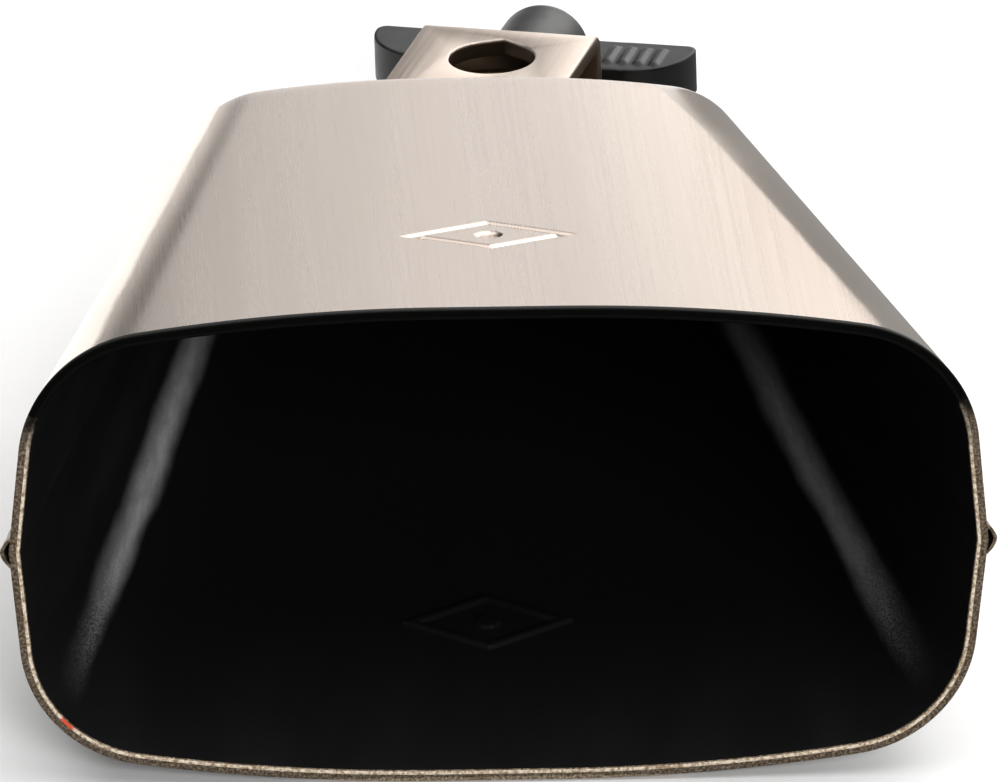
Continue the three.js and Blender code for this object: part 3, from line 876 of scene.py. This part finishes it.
def steel_outside():
    """Brushed along the bell on its faces, polished on its rounded corners and sides."""
    n = Nodes("shell_steel_outside")
    where = n.place(BELL_TO_ROW)
    x, y = n.split(where)[:2]
    brushed = brushed_share(n, where, x, y)
    end = n.ramp(y, BELL_LENGTH - 5.5, BELL_LENGTH - 4.0, 1.0, 0.0)
    brushed = n.math("MULTIPLY", brushed, end)
    fine = n.noise(n.stretched(where, (5.0, 0.014, 0.0)), 1.0, 2.0, 0.5)
    medium = n.noise(n.stretched(where, (1.8, 0.008, 0.0)), 1.0, 2.0, 0.5)
    broad = n.noise(n.stretched(where, (0.14, 0.004, 0.0)), 1.0, 1.0, 0.5)
    cloud = n.noise(where, 0.035, 3.0, 0.5)
    grain = n.math("ADD", n.math("MULTIPLY", fine, 0.55), n.math("MULTIPLY", medium, 0.45))
    rough_brushed = n.math("ADD", n.ramp(grain, 0.35, 0.65, 0.26, 0.31, False),
                           n.ramp(broad, 0.3, 0.7, -0.02, 0.02, False))
    rough_plain = n.ramp(cloud, 0.35, 0.65, 0.12, 0.17, False)
    roughness = n.blend(brushed, rough_plain, rough_brushed)
    tone = n.mix(n.ramp(grain, 0.36, 0.64), (0.580, 0.492, 0.434), (0.640, 0.547, 0.484))
    tone = n.mix(n.ramp(broad, 0.35, 0.65, 0.0, 0.35), tone, (0.57, 0.478, 0.41))
    tone = n.mix(n.ramp(cloud, 0.3, 0.7, 0.0, 0.3), tone, (0.61, 0.515, 0.44))
    tone = n.mix(brushed, (0.64, 0.565, 0.50), tone)
    height = n.math("MULTIPLY", grain, brushed)
    normal = n.bump(height, 0.0000012, 0.08)
    return n.finish(tone, roughness, normal)


def rim_black_share(n, where):
    """How black the mouth's edge is: all black over the front half."""
    z = n.split(where)[2]
    patch = n.noise(where, 0.25, 3.0, 0.6)
    height = n.math("ADD", z, n.math("MULTIPLY", n.math("SUBTRACT", patch, 0.5), 12.0))
    return n.ramp(height, 9.0, 20.0), patch


def steel_rim():
    """The cut mouth edge: dark gritty metal below, black over its front half."""
    n = Nodes("shell_steel_rim")
    where = n.place(BELL_TO_ROW)
    front_black, patch = rim_black_share(n, where)
    speckle = n.noise(where, 2.6, 4.0, 0.7)
    metal = n.mix(n.ramp(speckle, 0.4, 0.68), (0.13, 0.09, 0.055), (0.62, 0.50, 0.37))
    metal = n.mix(n.ramp(patch, 0.55, 0.75, 0.0, 0.6), metal, (0.16, 0.095, 0.05))
    black = n.mix(n.ramp(speckle, 0.55, 0.75, 0.0, 0.5), (0.0014, 0.0013, 0.0012),
                  (0.02, 0.012, 0.007))
    color = n.mix(front_black, metal, black)
    metallic = n.math("SUBTRACT", 0.7, n.math("MULTIPLY", front_black, 0.67))
    roughness = n.blend(front_black, n.ramp(speckle, 0.3, 0.7, 0.35, 0.6, False), 0.62)
    return n.finish(color, roughness, n.bump(speckle, 0.0001, 0.7), metallic,
                    Specular_IOR_Level=0.2)


def steel_bevel():
    """The inner corner of the mouth's edge, painted pale as a highlight, with one fleck of red paint."""
    n = Nodes("shell_steel_bevel")
    where = n.place(BELL_TO_ROW)
    front_black, patch = rim_black_share(n, where)
    speckle = n.noise(where, 1.6, 3.0, 0.6)
    # Painted highlight: a pale, mostly non-metal colour that keeps the inner corner bright from all sides.
    metal = n.mix(n.ramp(speckle, 0.36, 0.62), (0.36, 0.24, 0.14), (0.92, 0.80, 0.64))
    distance = n.tree.nodes.new("ShaderNodeVectorMath")
    distance.operation = "DISTANCE"
    n.feed(distance.inputs[0], where)
    distance.inputs[1].default_value = PAINT_FLECK
    paint = n.ramp(n.math("ADD", distance.outputs["Value"], n.math("MULTIPLY", speckle, 0.8)),
                   1.2, 1.9, 1.0, 0.0)
    color = n.mix(front_black, metal, (0.003, 0.0027, 0.0025))
    color = n.mix(paint, color, (0.62, 0.07, 0.03))
    bare = n.math("MULTIPLY", n.math("SUBTRACT", 1.0, front_black), n.math("SUBTRACT", 1.0, paint))
    return n.finish(color, n.ramp(speckle, 0.3, 0.7, 0.25, 0.4, False),
                    n.bump(speckle, 0.00006, 0.5), n.math("MULTIPLY", bare, 0.25))


def black_inside():
    """Fine sandy black coating, with a painted highlight along both back corners: a grey streak in place of
    the gloss reflection there.
    """
    n = Nodes("shell_black_inside")
    where = n.place(BELL_TO_ROW)
    x, y, z = n.split(where)
    sand = n.noise(where, 3.5, 2.0, 0.6)
    flow = n.noise(n.stretched(where, (1.0, 0.2, 1.0)), 0.12, 3.0, 0.55)
    streak = n.noise(n.stretched(where, (1.2, 0.06, 1.2)), 1.0, 3.0, 0.6)
    # The section's own x and z, as if the bell did not taper, and the angle round its corner.
    wide = n.math("DIVIDE", n.math("MULTIPLY", n.math("ABSOLUTE", x), HALF_WIDTH),
                  n.math("SUBTRACT", HALF_WIDTH, n.math("MULTIPLY", y, SIDE_SLOPE)))
    tall = n.math("DIVIDE", n.math("MULTIPLY", n.math("ABSOLUTE", z), HALF_HEIGHT),
                  n.math("SUBTRACT", HALF_HEIGHT, n.math("MULTIPLY", y, FACE_SLOPE)))
    angle = n.math("ARCTAN2", n.math("SUBTRACT", tall, CORNER_CENTRE[1]),
                   n.math("SUBTRACT", wide, CORNER_CENTRE[0]))
    angle = n.math("ADD", angle, n.math("MULTIPLY", n.math("SUBTRACT", flow, 0.5), 0.25))
    narrow = n.ramp(y, 0.0, 90.0, 0.0, 0.18, False)
    middle = n.math("SUBTRACT", angle, 0.68)
    ridge = n.math("MULTIPLY", n.ramp(middle, n.math("SUBTRACT", -0.16, narrow), 0.04),
                   n.ramp(middle, 0.04, n.math("ADD", 0.14, narrow), 1.0, 0.0))
    fade = n.math("MULTIPLY", n.ramp(y, 2.0, 45.0, 0.0, 1.0), n.ramp(y, 75.0, 118.0, 1.0, 0.4))
    # Painted highlight: a grey streak along each back inner corner, fading towards the mouth and the closed
    # end, grainy with the sand, on the back half only.
    painted_highlight = n.math("MULTIPLY", ridge, fade)
    painted_highlight = n.math("MULTIPLY", painted_highlight, n.ramp(streak, 0.25, 0.75, 0.7, 1.0))
    grit = n.ramp(sand, 0.42, 0.6, n.ramp(y, 15.0, 45.0, 0.15, 0.85), 1.0)
    painted_highlight = n.math("MULTIPLY", painted_highlight, grit)
    painted_highlight = n.math("MULTIPLY", painted_highlight, n.ramp(z, -4.0, 2.0, 1.0, 0.0))
    color = n.mix(painted_highlight, (0.0065, 0.0065, 0.0072), (0.42, 0.42, 0.417))
    color = n.mix(n.ramp(sand, 0.62, 0.8, 0.0, 0.25), color, (0.03, 0.03, 0.032))
    roughness = n.ramp(flow, 0.3, 0.7, 0.36, 0.5, False)
    normal = n.bump(sand, 0.00012, 0.35)
    normal = n.bump(flow, 0.0008, 0.15, normal)
    return n.finish(color, roughness, normal, 0.0)


def weld_metal():
    """Grey-brown weld with darker burnt patches."""
    n = Nodes("weld_metal")
    where = n.place(BELL_TO_ROW)
    grain = n.noise(where, 1.6, 4.0, 0.65)
    tint = n.noise(where, 0.18, 3.0, 0.6)
    color = n.mix(n.ramp(grain, 0.35, 0.65), (0.17, 0.125, 0.085), (0.50, 0.42, 0.34))
    color = n.mix(n.ramp(tint, 0.5, 0.7, 0.0, 0.5), color, (0.26, 0.17, 0.12))
    return n.finish(color, n.ramp(grain, 0.3, 0.7, 0.3, 0.5, False),
                    n.bump(grain, 0.0001, 0.5), 0.6)


def strap_metal():
    """Plated strap, rolled along its length, with painted shade on the faces between its legs."""
    n = Nodes("strap_metal")
    where = n.place(CLAMP_TO_ROW)
    lines = n.noise(n.stretched(where, (3.0, 0.05, 0.6)), 1.0, 4.0, 0.65)
    cloud = n.noise(where, 0.12, 3.0, 0.5)
    color = n.mix(n.ramp(lines, 0.3, 0.7), (0.61, 0.52, 0.452), (0.67, 0.58, 0.51))
    color = n.mix(n.ramp(cloud, 0.45, 0.75, 0.0, 0.5), color, (0.57, 0.47, 0.40))
    y, z = n.split(where)[1:3]
    # Painted shade: the faces between the legs are dark brown and rougher.
    painted_shade_between_legs = n.math("MULTIPLY", n.ramp(n.math("ABSOLUTE", z), 9.0, 9.3, 1.0, 0.0),
                     n.ramp(y, 33.8, 34.1, 1.0, 0.0))
    color = n.mix(painted_shade_between_legs, color, (0.085, 0.06, 0.04))
    roughness = n.blend(painted_shade_between_legs, n.ramp(lines, 0.3, 0.7, 0.42, 0.50, False), 0.55)
    normal = n.bump(lines, 0.000006, 0.2)
    return n.finish(color, roughness, normal)


def yellow_zinc():
    """Yellow plating with brown specks, with painted shade: dark all over, as for the eye inside the strap.
    """
    n = Nodes("yellow_zinc")
    where = n.place(CLAMP_TO_ROW)
    cloud = n.noise(where, 0.35, 3.0, 0.6)
    speck = n.noise(where, 2.5, 3.0, 0.6)
    # Painted shade: both plating colours are kept dark.
    color = n.mix(n.ramp(cloud, 0.35, 0.65), (0.20, 0.14, 0.055), (0.26, 0.23, 0.12))
    color = n.mix(n.ramp(speck, 0.55, 0.75, 0.0, 0.6), color, (0.17, 0.12, 0.06))
    return n.finish(color, n.ramp(speck, 0.3, 0.7, 0.26, 0.45, False),
                    n.bump(speck, 0.00008, 0.4))


def bright_zinc():
    """Pale plating with a fine speckle."""
    n = Nodes("bright_zinc")
    where = n.place(CLAMP_TO_ROW)
    speck = n.noise(where, 1.8, 4.0, 0.6)
    color = n.mix(n.ramp(speck, 0.35, 0.65), (0.50, 0.47, 0.43), (0.64, 0.61, 0.57))
    return n.finish(color, n.ramp(speck, 0.3, 0.7, 0.24, 0.4, False),
                    n.bump(speck, 0.00006, 0.35))


def black_plastic():
    """Moulded plastic with a fine grain and a faint flow pattern."""
    n = Nodes("black_plastic")
    where = n.place(CLAMP_TO_ROW)
    grain = n.noise(where, 4.5, 2.0, 0.5)
    flow = n.noise(where, 0.25, 2.0, 0.5)
    color = n.mix(n.ramp(flow, 0.35, 0.65), (0.0018, 0.0018, 0.0022), (0.0032, 0.0032, 0.0038))
    color = n.mix(n.ramp(grain, 0.6, 0.8, 0.0, 0.4), color, (0.03, 0.03, 0.033))
    roughness = n.ramp(flow, 0.3, 0.7, 0.34, 0.44, False)
    return n.finish(color, roughness, n.bump(grain, 0.00008, 0.35), 0.0, Specular_IOR_Level=0.4)


def brass():
    """Turned brass with fine rings about its axis."""
    n = Nodes("brass")
    where = n.place(CLAMP_TO_ROW)
    rings = n.noise(n.stretched(where, (0.4, 4.0, 0.4)), 1.0, 3.0, 0.6)
    color = n.mix(n.ramp(rings, 0.3, 0.7), (0.46, 0.33, 0.11), (0.58, 0.44, 0.18))
    return n.finish(color, n.ramp(rings, 0.3, 0.7, 0.25, 0.38, False),
                    n.bump(rings, 0.00004, 0.4))


CORNER_CENTRE = outline_features(WALL)[5]

STEEL_OUTSIDE = steel_outside()
STEEL_RIM = steel_rim()
STEEL_BEVEL = steel_bevel()
BLACK_INSIDE = black_inside()
WELD = weld_metal()
STRAP = strap_metal()
YELLOW_ZINC = yellow_zinc()
BRIGHT_ZINC = bright_zinc()
BLACK_PLASTIC = black_plastic()
BRASS = brass()

# --- the pieces -----------------------------------------------------------------------------------------

FILLET_PLACE = BELL_TO_ROW @ Matrix.Translation((CLAMP_BASE_X, BELL_LENGTH, 0)) @ (
    Matrix.Rotation(-CLAMP_ROLL, 4, "Y"))

PIECES = (
    (half_shell("front_shell_skin", BELL_TO_ROW), "front_shell", "bell", "brushed_steel"),
    (half_shell("back_shell_skin", BELL_TO_ROW @ HALF_TURN), "back_shell", "bell", "brushed_steel"),
    (side_bead("seam_bead_right", BELL_TO_ROW), "seam_weld_right", "bell", "weld_steel"),
    (side_bead("seam_bead_left", BELL_TO_ROW @ HALF_TURN), "seam_weld_left", "bell", "weld_steel"),
    (end_bead("seam_bead_end", BELL_TO_ROW), "seam_weld_end", "bell", "weld_steel"),
    (leg_fillet("bracket_fillet_front", FILLET_PLACE), "bracket_weld_front", "bell", "weld_steel"),
    (leg_fillet("bracket_fillet_back", FILLET_PLACE @ HALF_TURN), "bracket_weld_back", "bell",
     "weld_steel"),
    (clamp_bracket(), "clamp_bracket", "bell", "strap_steel"),
    (washer(), "washer", "bell", "bright_zinc"),
    (eye_bolt(), "eye_bolt", "eye_bolt", "yellow_zinc"),
    (wing_nut(), "wing_nut", "wing_nut", "black_plastic"),
    (wing_nut_insert(), "wing_nut_insert", "wing_nut", "brass"),
)
for obj, node, body, slot in PIECES:
    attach(obj, body)
    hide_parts(node)

# --- floor ------------------------------------------------------------------------------------------------

FLOOR_DROP = 0.0002
FLOOR_SIDE = 9.0


def floor_material():
    n = Nodes("floor")
    where = n.tree.nodes.new("ShaderNodeTexCoord").outputs["Object"]
    tone = n.mix(n.ramp(n.noise(where, 3.0, 2.0), 0.3, 0.7), (0.86, 0.86, 0.86), (0.9, 0.9, 0.9))
    return n.finish(tone, 0.75, metallic=0.0)


def studio_floor():
    """A flat pale table, wide enough to reach the horizon."""
    steps = 8
    values = np.linspace(-FLOOR_SIDE / 2, FLOOR_SIDE / 2, steps + 1)
    points = [(x, y, -FLOOR_DROP) for y in values for x in values]
    obj = piece("studio_floor", points, grid_faces(steps + 1, steps + 1), Matrix.Identity(4))
    obj.data.materials.append(floor_material())


studio_floor()

# --- light and camera -----------------------------------------------------------------------------------


def area_light(name, place, target, size, power, color=(1, 1, 1)):
    light = bpy.data.lights.new(name, "AREA")
    light.shape = "RECTANGLE"
    light.size, light.size_y = size
    light.energy = power
    light.color = color
    obj = bpy.data.objects.new(name, light)
    bpy.context.scene.collection.objects.link(obj)
    obj.location = place
    obj.rotation_euler = (Vector(target) - Vector(place)).to_track_quat("-Z", "Y").to_euler()
    obj.visible_camera = False
    return obj


world = bpy.data.worlds.new("studio")
bpy.context.scene.world = world
world.use_nodes = True


def sky_ramp(tree, value, limits):
    ramp = tree.nodes.new("ShaderNodeMapRange")
    ramp.interpolation_type = "SMOOTHSTEP"
    for name, limit in zip(("From Min", "From Max", "To Min", "To Max"), limits):
        ramp.inputs[name].default_value = limit
    tree.links.new(value, ramp.inputs["Value"])
    return ramp.outputs["Result"]


def sky_light(tree):
    """A room that is bright behind the bell and on the right, and dim in front and on the left."""
    where = tree.nodes.new("ShaderNodeTexCoord").outputs["Generated"]
    split = tree.nodes.new("ShaderNodeSeparateXYZ")
    tree.links.new(where, split.inputs["Vector"])
    both = tree.nodes.new("ShaderNodeMath")
    both.operation = "MULTIPLY"
    tree.links.new(sky_ramp(tree, split.outputs["Y"], (-0.5, 0.45, 0.06, 0.95)), both.inputs[0])
    tree.links.new(sky_ramp(tree, split.outputs["X"], (-0.3, 0.3, 0.25, 1.6)), both.inputs[1])
    tree.links.new(both.outputs[0], tree.nodes["Background"].inputs["Strength"])
    tree.nodes["Background"].inputs["Color"].default_value = (1, 1, 1, 1)


sky_light(world.node_tree)

area_light("overhead", (0.0, 0.2, 1.4), (0, 0.05, 0), (2.2, 2.0), 21)
area_light("back_right", (1.0, 2.2, 0.55), (0.05, 0, 0.03), (1.2, 0.6), 6, (1, 0.985, 0.97))
front_light = area_light("front_right", (0.6, -1.65, 0.9), (0, 0, 0.03), (0.9, 0.9), 26)
front_light.visible_glossy = False


def reflector(name, corners, brightness):
    """A studio card that only the reflections of the metal and the plastic show."""
    obj = piece(name, corners, [(0, 1, 2, 3)], Matrix.Identity(4), smooth=False)
    n = Nodes(name)
    n.finish((0, 0, 0), 1.0, metallic=0.0, Specular_IOR_Level=0.0)
    n.shader.inputs["Emission Color"].default_value = (1.0, 0.97, 0.93, 1)
    n.shader.inputs["Emission Strength"].default_value = brightness
    obj.data.materials.append(n.material)
    obj.visible_camera = False
    obj.visible_diffuse = False
    obj.visible_shadow = False
    obj.visible_transmission = False


CARD_LIFT = 0.0006
reflector("right_floor_card", ((0.03, 0.0, CARD_LIFT), (1.2, 0.0, CARD_LIFT),
                               (1.8, 2.9, CARD_LIFT), (0.33, 2.9, CARD_LIFT)), 0.34)
reflector("left_floor_card", ((-0.03, 0.0, CARD_LIFT), (-0.06, 0.28, CARD_LIFT),
                              (-1.5, 0.28, CARD_LIFT), (-1.2, 0.0, CARD_LIFT)), 1.35)
reflector("left_far_card", ((-0.06, 0.29, CARD_LIFT), (-0.24, 2.6, CARD_LIFT),
                            (-2.6, 2.6, CARD_LIFT), (-2.0, 0.29, CARD_LIFT)), 0.03)
reflector("left_wall_card", ((-0.24, 2.6, 0.0), (-0.24, 2.6, 1.9), (-2.6, 2.6, 1.9),
                             (-2.6, 2.6, 0.0)), 0.05)
reflector("right_wall_card", ((0.30, 2.6, 0.0), (0.30, 2.6, 0.55), (2.6, 2.6, 0.55),
                              (2.6, 2.6, 0.0)), 2.2)
reflector("front_floor_card", ((-1.6, -2.6, CARD_LIFT), (1.6, -2.6, CARD_LIFT),
                               (1.6, -0.03, CARD_LIFT), (-1.6, -0.03, CARD_LIFT)), 0.03)

# The photograph's view: a long lens, far away, looking down over the front of the mouth. The place,
# angles and lens were fitted to the outline of the object and are no measurement of a real camera.
CAMERA_IN_BELL = (-78.13, -1890.0, 845.55)
CAMERA_PITCH = 0.410649
CAMERA_YAW = 0.041634
CAMERA_ROLL = 0.002579
FOCAL_WIDTHS = 16.147
CENTRE_SHIFT = (-0.0043, -0.0014)
SENSOR_WIDTH = 36.0


def photo_camera():
    data = bpy.data.cameras.new("photo_camera")
    data.sensor_fit = "HORIZONTAL"
    data.sensor_width = SENSOR_WIDTH
    data.lens = SENSOR_WIDTH * FOCAL_WIDTHS
    data.shift_x, data.shift_y = CENTRE_SHIFT
    data.clip_end = 50
    obj = bpy.data.objects.new("photo_camera", data)
    bpy.context.scene.collection.objects.link(obj)
    forward = Vector((math.sin(CAMERA_YAW) * math.cos(CAMERA_PITCH),
                      math.cos(CAMERA_YAW) * math.cos(CAMERA_PITCH), -math.sin(CAMERA_PITCH)))
    right = Vector((math.cos(CAMERA_YAW), -math.sin(CAMERA_YAW), 0))
    up = right.cross(forward)
    turn = Matrix((right, up, -forward)).transposed().to_4x4()
    roll = Matrix.Rotation(CAMERA_ROLL, 4, "Z")
    rotation = BELL_TO_ROW.to_euler().to_matrix().to_4x4() @ turn @ roll
    obj.matrix_world = Matrix.Translation(BELL_TO_ROW @ Vector(CAMERA_IN_BELL)) @ rotation
    bpy.context.scene.camera = obj


photo_camera()
bpy.context.scene.view_settings.view_transform = "Standard"
